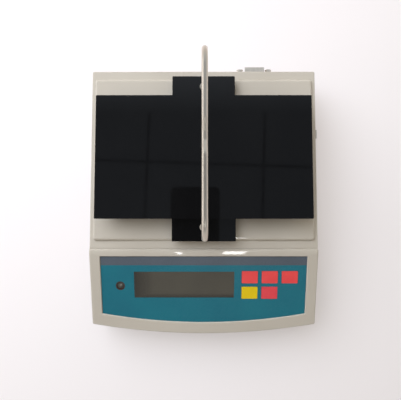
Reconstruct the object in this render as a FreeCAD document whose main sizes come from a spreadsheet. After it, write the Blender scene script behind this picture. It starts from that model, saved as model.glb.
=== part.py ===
import FreeCAD, Part
import math
import os
import re
import Sketcher

# A bench density meter for solids. Origin: centre of the footprint on the bench. +Z up, -Y towards the user.

os.makedirs("parts", exist_ok=True)
Vector = FreeCAD.Vector
doc = FreeCAD.newDocument("density_meter")
sheet = doc.addObject("Spreadsheet::Sheet", "sizes")

# Driving dimensions, in millimetres and degrees. "w" is a depth below the console's sloping face, and "v" a
# distance down that slope from the ridge.
dimensions = {
    # housing
    "body_width": 189, "body_depth": 222.8, "front_radius": 530, "corner_round": 1.5, "wall": 2.5,
    "base_underside": 11, "parting_height": 24, "ledge_height": 53.5, "parting_chamfer": 0.4,
    "underside_round": 1.2, "rim_round": 1.2, "ledge_round": 0.9, "cutter_overrun": 10, "embed": 0.6,
    "lip_gap": 0.2, "lip_thickness": 1.2, "lip_height": 2,
    # raised plateau on the cover
    "plateau_rise": 3, "plateau_side_margin": 2.9, "plateau_rear_margin": 7.4, "plateau_front_gap": 6.8,
    "plateau_corner": 2.6, "plateau_round": 2.4, "groove_width": 0.6, "groove_depth": 0.4,
    # console
    "console_depth": 73.7, "console_height": 56.16, "console_slope": 14.5, "console_wall": 4,
    "ridge_height": 55.35, "ridge_round": 1.5, "crown_round": 12,
    "overlay_margin": 9, "overlay_v": 6.78, "overlay_side": 51.15, "overlay_radius": 458,
    "overlay_thickness": 0.5, "overlay_gap": 0.1, "recess_depth": 1.5, "recess_chamfer": 0.5,
    # display
    "window_x": -16.3, "window_v": 31.98, "window_width": 83.4, "window_height": 23, "window_ledge": 1,
    "panel_thickness": 2.8, "panel_margin": 0.6, "panel_gap": 0.2, "frame_wall": 2.4, "strip_wide": 2,
    "display_board_margin": 3.3, "display_board_v": 32.23, "display_board_height": 44,
    "board_thickness": 1.6, "display_board_depth": 11, "display_boss_inset": 4.25,
    "board_boss_radius": 3, "board_screw_radius": 1.25, "board_screw_head": 2.6,
    "board_screw_head_height": 1.8, "board_screw_length": 7,
    # keys
    "key_window_gap": 6.4, "key_pitch_x": 16.65, "key_v": 25.23, "key_pitch_v": 13.95, "key_width": 13.3,
    "key_height": 10.7, "key_gap": 0.15, "key_proud": 0.2, "key_corner": 0.8, "key_flange": 0.8,
    "key_flange_thickness": 1, "key_flange_gap": 0.05, "key_stem": 4, "key_stem_length": 0.5,
    "key_travel": 0.35, "key_free": 0.1,
    "tact_width": 6, "tact_height": 3.5, "tact_plunger": 1.75,
    # round level
    "level_window_gap": 11.7, "level_v": 32.93, "level_radius": 3.75, "level_gap": 0.1, "level_wall": 0.8,
    "level_depth": 9.3, "level_floor": 1.4, "level_flange": 6, "level_flange_thickness": 1.2,
    "vial_gap": 0.05, "vial_setback": 0.25,
    # weighing plate, its posts and the arch
    "pan_setback": 74.7, "acrylic_thickness": 3, "strip_underside": 62, "strip_width": 51.3,
    "strip_length": 134.4, "strip_corner": 0.4, "post_radius": 5, "post_offset": 26,
    "post_clearance": 2, "collar_wall": 2,
    "collar_rise": 1.6, "pan_screw_radius": 2, "pan_screw_head": 3.8, "pan_screw_head_height": 2.2,
    "pan_screw_length": 12, "screw_clearance": 0.2,
    "rod_radius": 1.8, "arch_spacing": 113.5, "arch_shift": 1, "arch_height": 166, "arch_bend": 12,
    "dip_top": 20, "dip_bottom": 6, "dip_depth": 3.2, "dip_bend": 4, "dip_shift": 3,
    "leg_drop": 3.2, "arch_collar_radius": 3.15, "arch_collar_height": 4, "arch_nut_radius": 4,
    "arch_nut_height": 2.6,
    # bridge plate
    "bridge_underside": 74, "bridge_width": 170.4, "bridge_depth": 97.1, "bridge_corner": 0.8,
    "rail_inset": 8, "rail_thickness": 6, "rail_end_margin": 3, "pad_radius": 2.6, "pad_thickness": 1,
    "pad_end_margin": 8,
    # load cell and carrier
    "mount_pad_rise": 2.5, "block_thickness": 2.5, "block_length": 22, "cell_width": 24, "cell_length": 100,
    "cell_height": 18, "flexure_thickness": 2.2, "flexure_spacing": 34, "flexure_slot": 4,
    "cell_screw_radius": 2, "cell_screw_head": 3.5, "cell_screw_head_height": 2.6, "cell_screw_end": 6,
    "cell_screw_pitch": 9, "cell_screw_length": 16, "counterbore_depth": 3, "sealant_thickness": 0.8,
    "sealant_length": 46, "carrier_gap": 2.5, "carrier_thickness": 4, "carrier_foot": 20, "carrier_rear": 40,
    "carrier_ear_span": 42, "carrier_ear_width": 12, "carrier_screw_radius": 2, "carrier_screw_head": 3.4,
    "carrier_screw_head_height": 2.4, "carrier_screw_length": 14,
    "stop_x": 16.5, "stop_radius": 2, "stop_gap": 0.6, "stop_boss_radius": 3.5, "stop_boss_height": 25,
    # main board
    "board_side_gap": 20.5, "board_setback": 4.4, "board_width": 46, "board_length": 87,
    "board_boss_inset": 4, "board_rear_inset": 18,
    "controller_x": -6, "controller_setback": 52, "controller_width": 14, "controller_length": 14,
    "controller_height": 1.6, "converter_x": -9, "converter_setback": 72, "converter_width": 8,
    "converter_length": 10, "converter_height": 2.2, "regulator_x": 12, "regulator_setback": 27,
    "regulator_width": 10, "regulator_length": 5, "regulator_height": 9, "header_x": -8, "header_setback": 32,
    "header_width": 14, "header_length": 6, "header_height": 6, "input_x": 3, "input_setback": 22,
    "input_radius": 4, "input_height": 10, "output_x": 13, "output_setback": 36, "output_radius": 3.2,
    "output_height": 8,
    # nine-pin connector
    "serial_side_gap": 50.1, "serial_height": 41, "shell_width": 16.9, "shell_height": 8.3,
    "shell_taper": 1.3, "shell_thickness": 0.4, "connector_reach": 6.2, "flange_width": 30.8,
    "flange_height": 12.5,
    "flange_thickness": 0.8, "jackscrew_pitch": 24.99, "jackscrew_radius": 2.7, "jackscrew_length": 5,
    "jackscrew_bore": 1.42, "jackscrew_bore_depth": 4, "jackscrew_shank": 1.6, "insert_recess": 5.6,
    "insert_depth": 10, "pin_radius": 0.5, "pin_pitch": 2.77, "pin_row": 1.42, "pin_proud": 5,
    "connector_gap": 0.3,
    # power jack
    "jack_side_gap": 28, "jack_height": 41, "jack_barrel": 5, "jack_bore": 3.15, "jack_bore_depth": 9,
    "jack_body_height": 12.5, "jack_length": 13.5, "jack_pin": 1.05, "jack_pin_length": 8,
    # power switch on the right side
    "switch_setback": 52.6, "switch_height": 39.5, "bezel_width": 10.6, "bezel_height": 15,
    "bezel_thickness": 1.2, "switch_width": 9.2, "switch_body_height": 13.6, "switch_depth": 12,
    "rocker_width": 7.4, "rocker_height": 12, "rocker_gap": 0.15, "rocker_sweep_room": 0.6,
    "rocker_rise": 1.6, "rocker_end_rise": 2.44, "rocker_tilt": 8, "rocker_back": 1.5,
    "rocker_back_height": 6.5, "rocker_shoulder": 0.6, "rocker_setback": 0.2,
    "axle_radius": 1, "axle_gap": 0.05, "axle_length": 8.5, "rocker_room_depth": 6, "terminal_length": 5,
    "terminal_width": 3, "terminal_thickness": 0.8,
    # levelling feet
    "foot_side_inset": 16.5, "foot_rear_setback": 16.4, "foot_front_setback": 26.4,
    "foot_boss_radius": 7, "foot_boss_top": 23.5,
    "insert_radius": 4, "insert_length": 10, "thread_radius": 3, "thread_gap": 0.05, "screw_top": 24,
    "wheel_radius": 11, "wheel_thickness": 4, "wheel_bottom": 5, "wheel_flutes": 30, "flute_radius": 0.7,
    "foot_pad_radius": 9.5, "foot_pad_rim": 2.5, "foot_pad_height": 4.6, "foot_pad_neck": 6,
    "tip_radius": 2.5, "tip_bottom": 1.6, "tip_gap": 0.05,
    # cover screws
    "boss_radius": 4.5, "boss_side_inset": 13.5, "boss_rear_setback": 41.4, "boss_console_gap": 2.4,
    "front_boss_inset": 14, "cover_screw_radius": 1.75, "cover_screw_head": 3.4,
    "cover_screw_head_height": 2.4, "cover_screw_length": 20,
    # rating plate
    "plate_length": 62, "plate_width": 30, "plate_thickness": 0.3, "plate_y": -20,
    # cables
    "cell_cable_radius": 1.5, "cell_cable_rear": 30, "display_cable_radius": 1.8, "display_cable_inset": 6,
    "switch_lead_radius": 1.1, "upper_lead_reach": 11, "lower_lead_reach": 6, "cable_out": 8, "cable_sag": 6,
}

# Sizes that follow from the driving ones.
derived = {
    "rear_y": "(body_depth - connector_reach) / 2",
    "front_y": "rear_y - body_depth",
    "half_width": "body_width / 2",
    "front_sagitta": "front_radius - sqrt(front_radius^2 - half_width^2)",
    "front_corner_y": "front_y + front_sagitta",
    "console_y": "front_y + console_depth",
    "land_y": "console_y - (console_height - ridge_height) / tan(console_slope)",
    "ridge_underside": "console_height - console_wall / cos(console_slope)",
    "ledge_underside": "ledge_height - wall",
    "floor_top": "base_underside + wall",
    "plateau_top": "ledge_height + plateau_rise",
    "plateau_rear_y": "rear_y - plateau_rear_margin",
    "plateau_front_y": "console_y + plateau_front_gap",
    "overlay_w": "recess_depth - overlay_thickness",
    "overlay_width": "body_width - 2 * overlay_margin",
    "key_x": "window_x + window_width / 2 + key_window_gap + key_width / 2",
    "second_key_v": "key_v + key_pitch_v",
    "last_key_x": "key_x + 2 * key_pitch_x",
    "level_x": "window_x - window_width / 2 - level_window_gap",
    "display_board_left": "window_x - window_width / 2 - display_board_margin",
    "display_board_right": "last_key_x + key_width / 2 + display_board_margin",
    "display_board_width": "display_board_right - display_board_left",
    "display_board_x": "(display_board_left + display_board_right) / 2",
    "pan_y": "rear_y - pan_setback",
    "strip_top": "strip_underside + acrylic_thickness",
    "arch_y": "pan_y + arch_shift",
    "cell_bottom": "floor_top + mount_pad_rise + block_thickness",
    "cell_top": "cell_bottom + cell_height",
    "cell_rear_y": "pan_y + cell_length / 2",
    "cell_front_y": "pan_y - cell_length / 2",
    "carrier_bottom": "cell_top + carrier_gap",
    "carrier_top": "carrier_bottom + carrier_thickness",
    "board_x": "half_width - board_side_gap - board_width / 2",
    "board_rear_y": "rear_y - board_setback",
    "board_y": "board_rear_y - board_length / 2",
    "serial_x": "half_width - serial_side_gap",
    "jack_x": "half_width - jack_side_gap",
    "board_top": "serial_height - flange_height / 2",
    "board_underside": "board_top - board_thickness",
    "switch_y": "rear_y - switch_setback",
    "foot_x": "half_width - foot_side_inset",
    "boss_x": "half_width - boss_side_inset",
    "foot_rear_y": "rear_y - foot_rear_setback",
    "foot_front_y": "front_y + foot_front_setback",
    "boss_rear_y": "rear_y - boss_rear_setback",
    "boss_front_y": "console_y + boss_console_gap",
    "boss_middle_y": "front_y + front_boss_inset",
    "overlay_sagitta": "overlay_radius - sqrt(overlay_radius^2 - (overlay_width / 2)^2)",
    "tact_top_w": "display_board_depth - tact_height",
    "key_foot_w": "console_wall + key_flange_gap + key_flange_thickness + key_stem_length",
    "plunger_top_w": "key_foot_w + key_travel + key_free",
}

# Sketcher's own numbers for the points of a shape and for the sketch's axes, which meet in its origin.
START, END, CENTRE = range(1, 4)
VERTICAL_AXIS, HORIZONTAL_AXIS = range(-2, 0)

TINY = 1e-6
SLIM = 0.01
BEND_SHARE = 0.45
SOCKET_WIDTH_SHARE = 0.45
SOCKET_DEPTH_SHARE = 0.6

for row, (name, number) in enumerate(dimensions.items(), start=1):
    sheet.set(f"A{row}", name)
    sheet.set(f"B{row}", str(number))
    sheet.setAlias(f"B{row}", name)
doc.recompute()


def expand(text):
    """A formula of size names, written as an expression on the sheet's cells."""

    def cell(match):
        word = match.group()
        if word in derived:
            return f"({expand(derived[word])})"
        return f"sizes.{word}" if word in dimensions else word

    return re.sub(r"[a-z][a-z_0-9]*", cell, str(text))


def value(text):
    return float(sheet.evalExpression(expand(text)))


def bind(item, field, text):
    item.setExpression(field, expand(text))


def place(item, x="0", y="0", z="0"):
    for axis, text in zip("xyz", (x, y, z)):
        bind(item, f"Placement.Base.{axis}", text)
    return item


# Nodes, by name, in the order they are made.
nodes = {}


def finish(item, label):
    item.Label = label
    nodes[label] = item
    return item


def on_console(item, label):
    """Stands a piece drawn flat on the sloping console: x across, -y down the slope, -z into the housing."""
    if item.TypeId in ("Part::Box", "Part::Cylinder"):
        item = group(f"{label}_group", [item])
    item.Placement = FreeCAD.Placement(Vector(), FreeCAD.Rotation(Vector(1, 0, 0), value("console_slope")))
    bind(item, "Placement.Rotation.Angle", "console_slope")
    place(item, y="console_y", z="console_height")
    return finish(item, label)


# ---- sketches and features of PartDesign bodies ----


def new_body(label):
    return doc.addObject("PartDesign::Body", f"{label}_body")


def new_sketch(body, name, z="0", role="XY_Plane", y="0", tilt=None):
    """A sketch on one of the body's own planes, lifted by z along its normal and y along its second axis."""
    sketch = body.newObject("Sketcher::SketchObject", name)
    plane = next(item for item in body.Origin.OriginFeatures if item.Role == role)
    sketch.AttachmentSupport = [(plane, "")]
    sketch.MapMode = "FlatFace"
    if tilt:
        turn = FreeCAD.Rotation(Vector(1, 0, 0), value(tilt))
        sketch.AttachmentOffset = FreeCAD.Placement(Vector(), turn)
        bind(sketch, "AttachmentOffset.Rotation.Angle", tilt)
    bind(sketch, "AttachmentOffset.Base.y", y)
    bind(sketch, "AttachmentOffset.Base.z", z)
    return sketch


def console_sketch(body, name, w="0"):
    """A sketch parallel to the console's face, w below it."""
    y = f"console_y + ({w}) * sin(console_slope)"
    z = f"console_height - ({w}) * cos(console_slope)"
    return new_sketch(body, name, z=z, y=y, tilt="console_slope")


def pin_point(sketch, shape, point, x, y):
    """Ties a point of a sketch's shape to its two coordinates."""
    for kind, text, axis in (("DistanceX", x, VERTICAL_AXIS), ("DistanceY", y, HORIZONTAL_AXIS)):
        distance = value(text)
        if abs(distance) < TINY:
            sketch.addConstraint(Sketcher.Constraint("PointOnObject", shape, point, axis))
            continue
        tie = Sketcher.Constraint(kind, HORIZONTAL_AXIS, START, shape, point, distance)
        bind(sketch, f"Constraints[{sketch.addConstraint(tie)}]", text)


def set_radius(sketch, shape, radius):
    tie = Sketcher.Constraint("Radius", shape, value(radius))
    bind(sketch, f"Constraints[{sketch.addConstraint(tie)}]", radius)


def add_polygon(sketch, points):
    first = sketch.GeometryCount
    corners = [Vector(value(x), value(y), 0) for x, y in points]
    count = len(corners)
    for i in range(count):
        sketch.addGeometry(Part.LineSegment(corners[i], corners[(i + 1) % count]))
    for i, (x, y) in enumerate(points):
        sketch.addConstraint(
            Sketcher.Constraint("Coincident", first + i, END, first + (i + 1) % count, START)
        )
        pin_point(sketch, first + i, START, x, y)
    return sketch


def add_rectangle(sketch, x, y, width, length):
    left, right = f"({x}) - ({width}) / 2", f"({x}) + ({width}) / 2"
    low, high = f"({y}) - ({length}) / 2", f"({y}) + ({length}) / 2"
    return add_polygon(sketch, [(left, low), (right, low), (right, high), (left, high)])


def add_circle(sketch, x, y, radius):
    centre = Vector(value(x), value(y), 0)
    shape = sketch.addGeometry(Part.Circle(centre, Vector(0, 0, 1), value(radius)))
    set_radius(sketch, shape, radius)
    pin_point(sketch, shape, CENTRE, x, y)
    return sketch


def add_bowed_outline(sketch, half, rear, front, radius):
    """A rectangle whose near side is an arc that bows out to y = front on the middle line."""
    wide, far, near, bow = value(half), value(rear), value(front), value(radius)
    corner_y = near + bow - math.sqrt(bow**2 - wide**2)
    spread = math.asin(wide / bow)
    left_rear, right_rear = Vector(-wide, far, 0), Vector(wide, far, 0)
    left_near, right_near = Vector(-wide, corner_y, 0), Vector(wide, corner_y, 0)
    back = sketch.addGeometry(Part.LineSegment(left_rear, right_rear))
    right = sketch.addGeometry(Part.LineSegment(right_rear, right_near))
    left = sketch.addGeometry(Part.LineSegment(left_near, left_rear))
    circle = Part.Circle(Vector(0, near + bow, 0), Vector(0, 0, 1), bow)
    middle = -math.pi / 2
    arc = sketch.addGeometry(Part.ArcOfCircle(circle, middle - spread, middle + spread))
    for one, one_end, other, other_end in (
        (back, END, right, START),
        (right, END, arc, END),
        (left, START, arc, START),
        (left, END, back, START),
    ):
        sketch.addConstraint(Sketcher.Constraint("Coincident", one, one_end, other, other_end))
    sketch.addConstraint(Sketcher.Constraint("Vertical", right))
    sketch.addConstraint(Sketcher.Constraint("Vertical", left))
    pin_point(sketch, back, START, f"-({half})", rear)
    pin_point(sketch, back, END, half, rear)
    pin_point(sketch, arc, CENTRE, "0", f"({front}) + ({radius})")
    set_radius(sketch, arc, radius)
    return sketch


def housing_outline(body, name, inset, z):
    """The housing's outline in plan, moved in by an inset."""
    sketch = new_sketch(body, name, z=z)
    return add_bowed_outline(
        sketch, f"half_width - ({inset})", f"rear_y - ({inset})", f"front_y + ({inset})",
        f"front_radius - ({inset})"
    )


def extrude(body, kind, sketch, length, up=None, symmetric=False):
    """A Pad or Pocket. up says whether it runs along the sketch's normal."""
    feature = body.newObject(f"PartDesign::{kind}", f"{sketch.Name}_{kind.lower()}")
    feature.Profile = sketch
    bind(feature, "Length", length)
    if symmetric:
        feature.SideType = "Symmetric"
    elif up is not None:
        feature.Reversed = up if kind == "Pocket" else not up
    sketch.Visibility = False
    return feature


def pad(body, sketch, length, up=True, symmetric=False):
    return extrude(body, "Pad", sketch, length, up, symmetric)


def pocket(body, sketch, length, up=False, symmetric=False):
    return extrude(body, "Pocket", sketch, length, up, symmetric)


def dress(body, base, kind, field, amount, wanted):
    """A Fillet or Chamfer on the edges of base that pass a test."""
    doc.recompute()
    edges = [f"Edge{i}" for i, edge in enumerate(base.Shape.Edges, start=1) if wanted(edge)]
    feature = body.newObject(f"PartDesign::{kind}", f"{base.Name}_{kind.lower()}")
    feature.Base = (base, edges)
    bind(feature, field, amount)
    return feature


def fillet(body, base, radius, wanted):
    return dress(body, base, "Fillet", "Radius", radius, wanted)


def chamfer(body, base, size, wanted):
    return dress(body, base, "Chamfer", "Size", size, wanted)


def is_upright(edge):
    box = edge.BoundBox
    return box.XLength < SLIM and box.YLength < SLIM


def is_level(edge, z):
    box = edge.BoundBox
    return abs(box.ZMin - z) < SLIM and abs(box.ZMax - z) < SLIM


def height_over_console(point):
    slope = math.radians(value("console_slope"))
    rise, back = point.z - value("console_height"), point.y - value("console_y")
    return rise * math.cos(slope) - back * math.sin(slope)


# ---- pieces made of Part primitives ----


def box(name, size, x, y, z):
    """A block, centred on x and y, with its bottom at z."""
    block = doc.addObject("Part::Box", name)
    for field, text in zip(("Length", "Width", "Height"), size):
        bind(block, field, text)
    return place(block, f"({x}) - ({size[0]}) / 2", f"({y}) - ({size[1]}) / 2", z)


def cylinder(name, radius, length, x, y, z, axis=Vector(0, 0, 1)):
    """A cylinder from the point x, y, z along an axis."""
    bar = doc.addObject("Part::Cylinder", name)
    bind(bar, "Radius", radius)
    bind(bar, "Height", length)
    bar.Placement = FreeCAD.Placement(Vector(), FreeCAD.Rotation(Vector(0, 0, 1), axis))
    return place(bar, x, y, z)


def hexagon(name, radius, length, x, y, z, axis=Vector(0, 0, 1)):
    """A six-sided bar from the point x, y, z along an axis, with its radius at the corners."""
    bar = doc.addObject("Part::Prism", name)
    bar.Polygon = 6
    bind(bar, "Circumradius", radius)
    bind(bar, "Height", length)
    bar.Placement = FreeCAD.Placement(Vector(), FreeCAD.Rotation(Vector(0, 0, 1), axis))
    return place(bar, x, y, z)


def fuse(name, shapes):
    joined = doc.addObject("Part::MultiFuse", name)
    joined.Shapes = shapes
    joined.Refine = True
    return joined


def cut(name, base, *tools):
    tool = tools[0] if len(tools) == 1 else fuse(f"{name}_tools", list(tools))
    result = doc.addObject("Part::Cut", name)
    result.Base = base
    result.Tool = tool
    return result


def group(name, members):
    """Separate solids that share one node."""
    compound = doc.addObject("Part::Compound", name)
    compound.Links = members
    return compound


def screw(name, x, y, z, head, head_height, shank, length, down=True):
    """A socket screw. z is the seat of its head, and the shank runs down from it, or up."""
    away = 1 if down else -1
    axis = Vector(0, 0, away)
    body = cylinder(f"{name}_head", head, head_height, x, y, z, axis)
    stem = cylinder(f"{name}_shank", shank, length, x, y, z, axis * -1)
    top = f"({z}) + {away} * ({head_height})"
    socket = hexagon(
        f"{name}_socket", f"({head}) * {SOCKET_WIDTH_SHARE}", f"({head_height}) * {SOCKET_DEPTH_SHARE}", x, y,
        top, axis * -1,
    )
    return cut(f"{name}_cut", fuse(f"{name}_blank", [body, stem]), socket)


def rounded_wire(points, radii):
    """Straight runs joined by tangent arcs, one radius for each inner point."""
    edges, here = [], points[0]
    for i in range(1, len(points) - 1):
        before = (points[i - 1] - points[i]).normalize()
        after = (points[i + 1] - points[i]).normalize()
        half_turn = (math.pi - before.getAngle(after)) / 2
        reach = radii[i - 1] * math.tan(half_turn)
        start, end = points[i] + before * reach, points[i] + after * reach
        middle_way = (before + after).normalize()
        centre = points[i] + middle_way * (radii[i - 1] / math.cos(half_turn))
        middle = centre - middle_way * radii[i - 1]
        edges.append(Part.LineSegment(here, start).toShape())
        edges.append(Part.Arc(start, middle, end).toShape())
        here = end
    edges.append(Part.LineSegment(here, points[-1]).toShape())
    return Part.Wire(edges)


def sweep(name, wire, radius):
    """A round bar along a wire, with its profile's radius bound to the sheet."""
    path = doc.addObject("Part::Feature", f"{name}_path")
    path.Shape = wire
    first = wire.Edges[0]
    start = first.Vertexes[0].Point
    heading = first.tangentAt(first.FirstParameter)
    profile = doc.addObject("Part::Circle", f"{name}_profile")
    bind(profile, "Radius", radius)
    profile.Placement = FreeCAD.Placement(start, FreeCAD.Rotation(Vector(0, 0, 1), heading))
    swept = doc.addObject("Part::Sweep", name)
    swept.Sections = [profile]
    swept.Spine = (path, [f"Edge{i}" for i in range(1, len(wire.Edges) + 1)])
    swept.Solid = True
    swept.Frenet = True
    return swept


# ---- housing ----

LEFT_RIGHT = ("-", "")
cover_bosses = [(f"{side}boss_x", f"boss_{end}_y") for side in LEFT_RIGHT for end in ("rear", "front")]
cover_bosses.append(("0", "boss_middle_y"))
feet = {
    f"{end}_{word}": (f"{side}foot_x", f"foot_{end}_y")
    for end in ("front", "rear")
    for side, word in zip(LEFT_RIGHT, ("left", "right"))
}
key_names = {
    "red_key_left": ("key_x", "key_v"),
    "red_key_middle": ("key_x + key_pitch_x", "key_v"),
    "red_key_right": ("last_key_x", "key_v"),
    "yellow_key": ("key_x", "second_key_v"),
    "red_key_lower": ("key_x + key_pitch_x", "second_key_v"),
}
display_bosses = [
    (
        f"display_board_x {across} (display_board_width / 2 - display_boss_inset)",
        f"-(display_board_v {along} (display_board_height / 2 - display_boss_inset))",
    )
    for across in "+-"
    for along in "+-"
]
post_ys = ["pan_y + post_offset", "pan_y - post_offset"]


def make_upper_cover():
    cover = new_body("upper_cover")
    plan = housing_outline(cover, "cover_plan", "0", "parting_height")
    pad(cover, plan, "ridge_height - parting_height")

    # The rear is level, and the console slopes down to the front.
    level = new_sketch(cover, "rear_level", z="ridge_height")
    add_rectangle(
        level, "0", "(rear_y + cutter_overrun + console_y) / 2", "body_width + 2 * cutter_overrun",
        "rear_y + cutter_overrun - console_y",
    )
    pocket(cover, level, "ridge_height - ledge_height")
    run = "(console_y - front_y + cutter_overrun)"
    slope = new_sketch(cover, "slope_cut", role="YZ_Plane")
    add_polygon(
        slope,
        [
            ("land_y", "ridge_height"),
            (f"console_y - {run}", f"console_height - {run} * tan(console_slope)"),
            (f"console_y - {run}", "ridge_height + cutter_overrun"),
            ("land_y", "ridge_height + cutter_overrun"),
        ],
    )
    sloped = pocket(cover, slope, "body_width + 2 * cutter_overrun", symmetric=True)

    def on_ridge(edge, y):
        box = edge.BoundBox
        return is_level(edge, value("ridge_height")) and abs(box.YMax - value(y)) + box.YLength < SLIM

    def is_corner(edge):
        return is_upright(edge) and abs(edge.BoundBox.ZMin - value("parting_height")) < SLIM

    def on_ledge_rim(edge):
        box = edge.BoundBox
        at_ridge_foot = box.YLength < SLIM and abs(box.YMax - value("console_y")) < SLIM
        return is_level(edge, value("ledge_height")) and not at_ridge_foot

    cornered = fillet(cover, sloped, "corner_round", is_corner)
    ledged = fillet(cover, cornered, "ledge_round", on_ledge_rim)
    ridge = fillet(cover, ledged, "ridge_round", lambda edge: on_ridge(edge, "console_y"))
    crown = fillet(cover, ridge, "crown_round", lambda edge: on_ridge(edge, "land_y"))
    seam = chamfer(cover, crown, "parting_chamfer", lambda edge: is_level(edge, value("parting_height")))

    # Top edges of the console's two sides and bowed front.
    def on_console_rim(edge):
        box = edge.BoundBox
        outside = max(abs(box.XMin), abs(box.XMax)) > value("half_width - corner_round") - SLIM
        below_ridge = box.YMax < value("console_y") - SLIM
        high = box.ZMin > value("parting_height + corner_round")
        across = box.XLength > value("half_width") and box.YLength < SLIM
        return outside and below_ridge and high and not across and not is_upright(edge)

    fillet(cover, seam, "rim_round", on_console_rim)

    plateau = new_sketch(cover, "plateau", z="ledge_height")
    add_rectangle(
        plateau, "0", "(plateau_rear_y + plateau_front_y) / 2", "body_width - 2 * plateau_side_margin",
        "plateau_rear_y - plateau_front_y",
    )
    raised = pad(cover, plateau, "plateau_rise")

    def at_plateau_corner(edge):
        box = edge.BoundBox
        return is_upright(edge) and abs(box.ZMax - value("plateau_top")) < SLIM

    rounded = fillet(cover, raised, "plateau_corner", at_plateau_corner)
    fillet(cover, rounded, "plateau_round", lambda edge: is_level(edge, value("plateau_top")))

    # A fine groove across the cover along the ridge's foot.
    groove = new_sketch(cover, "seam_groove", z="ledge_height")
    add_rectangle(
        groove, "0", "console_y + groove_width / 2", "body_width + 2 * cutter_overrun",
        "groove_width"
    )
    pocket(cover, groove, "groove_depth")

    # Drip collars where the two posts come through.
    collars = new_sketch(cover, "drip_collars", z="plateau_top")
    for y in post_ys:
        add_circle(collars, "0", y, "post_radius + post_clearance + collar_wall")
    pad(cover, collars, "collar_rise")

    # The hollow inside: a chamber under the ledge, one under the plateau and one under the console.
    inner_width = "(body_width - 2 * wall)"
    chamber = new_sketch(cover, "rear_chamber", z="parting_height")
    add_rectangle(chamber, "0", "(rear_y - wall + console_y) / 2", inner_width, "rear_y - wall - console_y")
    pocket(cover, chamber, "ledge_underside - parting_height", up=True)
    upper = new_sketch(cover, "plateau_chamber", z="ledge_underside")
    side_inset = "(plateau_side_margin + plateau_corner)"
    add_rectangle(
        upper, "0", "(plateau_rear_y + plateau_front_y) / 2", f"body_width - 2 * {side_inset}",
        "plateau_rear_y - plateau_front_y - 2 * plateau_corner",
    )
    pocket(cover, upper, "plateau_rise", up=True)
    inner_run = "(console_y - front_corner_y - wall)"
    under = new_sketch(cover, "console_chamber", role="YZ_Plane")
    add_polygon(
        under,
        [
            ("console_y", "parting_height"),
            ("console_y", "ridge_underside"),
            (f"console_y - {inner_run}", f"ridge_underside - {inner_run} * tan(console_slope)"),
            (f"console_y - {inner_run}", "parting_height"),
        ],
    )
    pocket(cover, under, inner_width, symmetric=True)
    bow = housing_outline(cover, "bowed_chamber", "wall", "parting_height")
    front_ceiling = "(ridge_underside - (console_y - front_y) * tan(console_slope))"
    pocket(cover, bow, f"{front_ceiling} - parting_height", up=True)

    # Bosses for the cover screws, each up to the ceiling above it, and for the display board.
    ceilings = {
        "boss_rear_y": "plateau_top - wall",
        "boss_front_y": "ridge_underside",
        "boss_middle_y": "ridge_underside - (console_y - boss_middle_y) * tan(console_slope)",
    }
    for i, (x, y) in enumerate(cover_bosses):
        boss = new_sketch(cover, f"screw_boss_{i}", z="parting_height")
        add_circle(boss, x, y, "boss_radius")
        pad(cover, boss, f"{ceilings[y]} - parting_height + embed")
    holes = new_sketch(cover, "boss_holes", z="parting_height")
    for x, y in cover_bosses:
        add_circle(holes, x, y, "cover_screw_radius")
    pocket(
        cover, holes,
        "cover_screw_length - (parting_height - base_underside - cover_screw_head_height)", up=True
    )
    stands = console_sketch(cover, "board_stands", "console_wall - embed")
    for x, y in display_bosses:
        add_circle(stands, x, y, "board_boss_radius")
    pad(cover, stands, "display_board_depth - console_wall + embed", up=False)
    stand_holes = console_sketch(cover, "board_stand_holes", "display_board_depth")
    for x, y in display_bosses:
        add_circle(stand_holes, x, y, "board_screw_radius")
    pocket(cover, stand_holes, "board_screw_length - board_thickness", up=True)

    # Recess for the membrane panel, and the openings behind it.
    def on_recess_rim(edge):
        box = edge.BoundBox
        inside = max(abs(box.XMin), abs(box.XMax)) < value("overlay_width / 2 + overlay_gap") + SLIM
        return inside and all(abs(height_over_console(corner.Point)) < SLIM for corner in edge.Vertexes)

    recess = console_sketch(cover, "overlay_recess")
    add_bowed_outline(
        recess, "overlay_width / 2 + overlay_gap", "overlay_gap - overlay_v",
        "-(overlay_v + overlay_side + overlay_sagitta) - overlay_gap", "overlay_radius + overlay_gap",
    )
    sunk = pocket(cover, recess, "recess_depth")
    chamfer(cover, sunk, "recess_chamfer", on_recess_rim)
    openings = console_sketch(cover, "console_openings")
    add_rectangle(
        openings, "window_x", "-window_v", "window_width - 2 * window_ledge",
        "window_height - 2 * window_ledge"
    )
    for x, v in key_names.values():
        add_rectangle(openings, x, f"-({v})", "key_width + 2 * key_gap", "key_height + 2 * key_gap")
    add_circle(openings, "level_x", "-level_v", "level_radius + level_gap")
    pocket(cover, openings, "console_wall + embed")

    # Holes for the posts, the connectors and the switch.
    post_holes = new_sketch(cover, "post_holes", z="plateau_top + collar_rise")
    for y in post_ys:
        add_circle(post_holes, "0", y, "post_radius + post_clearance")
    pocket(cover, post_holes, "collar_rise + plateau_rise + wall")
    rear = new_sketch(cover, "rear_openings", z="-(rear_y)", role="XZ_Plane")
    add_rectangle(
        rear, "serial_x", "serial_height", "shell_width + 2 * connector_gap",
        "shell_height + 2 * connector_gap"
    )
    for side in "+-":
        add_circle(rear, f"serial_x {side} jackscrew_pitch / 2", "serial_height", "jackscrew_shank")
    add_circle(rear, "jack_x", "jack_height", "jack_barrel + connector_gap")
    pocket(cover, rear, "4 * wall", symmetric=True)
    side_cut = new_sketch(cover, "switch_opening", z="half_width", role="YZ_Plane")
    add_rectangle(side_cut, "switch_y", "switch_height", "switch_width", "switch_body_height")
    pocket(cover, side_cut, "4 * wall", symmetric=True)
    finish(cover, "upper_cover")


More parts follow.
